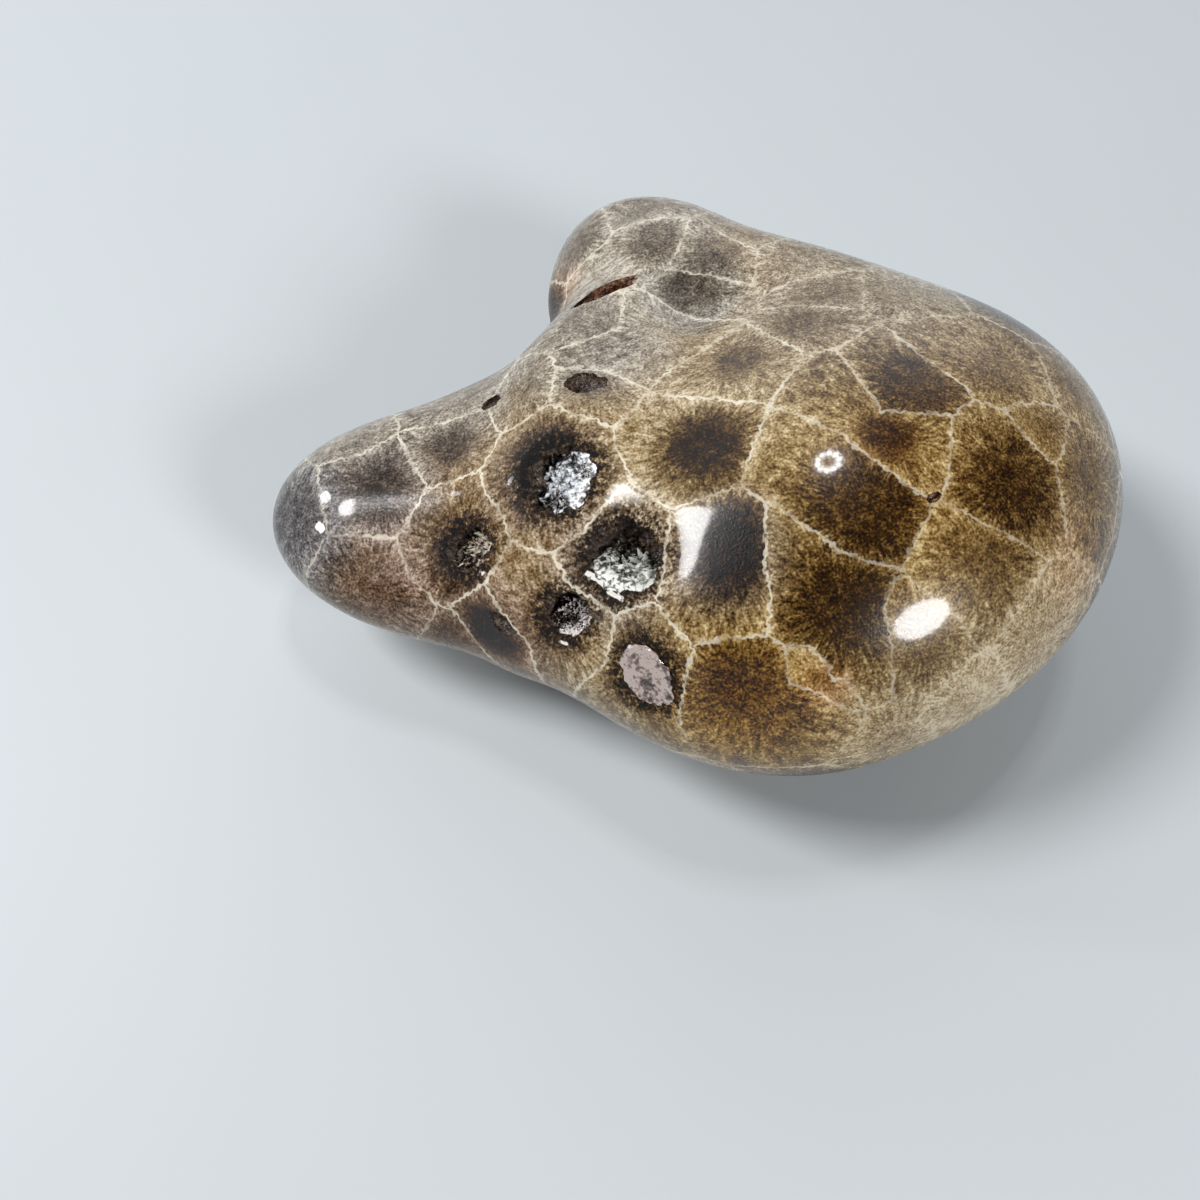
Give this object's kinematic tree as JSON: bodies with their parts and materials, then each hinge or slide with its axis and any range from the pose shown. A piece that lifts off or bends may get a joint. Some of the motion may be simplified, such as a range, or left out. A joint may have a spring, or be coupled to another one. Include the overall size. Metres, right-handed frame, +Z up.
{
  "type": "polished fossil coral head",
  "caption": "Polished cobble of fossil colonial coral with a blunt horn, a knob and crystal-lined vugs; it lies on a worn flat on its underside.",
  "frame": {"origin": "centre of the bounding box's bottom face, on the surface that the stone lies on", "axes": "+Z up; +X from the tip of the horn to the heavy rounded end; +Y from the front flank to the knob at the back"},
  "size_m": [0.0816, 0.0644, 0.0323],
  "materials": {
    "polished_coral": "polished",
    "calcite": "gloss"
  },
  "bodies": {
    "root": {"coral_head": "polished_coral", "saddle_vug_crystals": "calcite", "middle_vug_crystals": "calcite", "horn_vug_crystals": "calcite", "side_vug_crystals": "calcite", "front_vug_crystals": "calcite"}
  },
  "joints": []
}
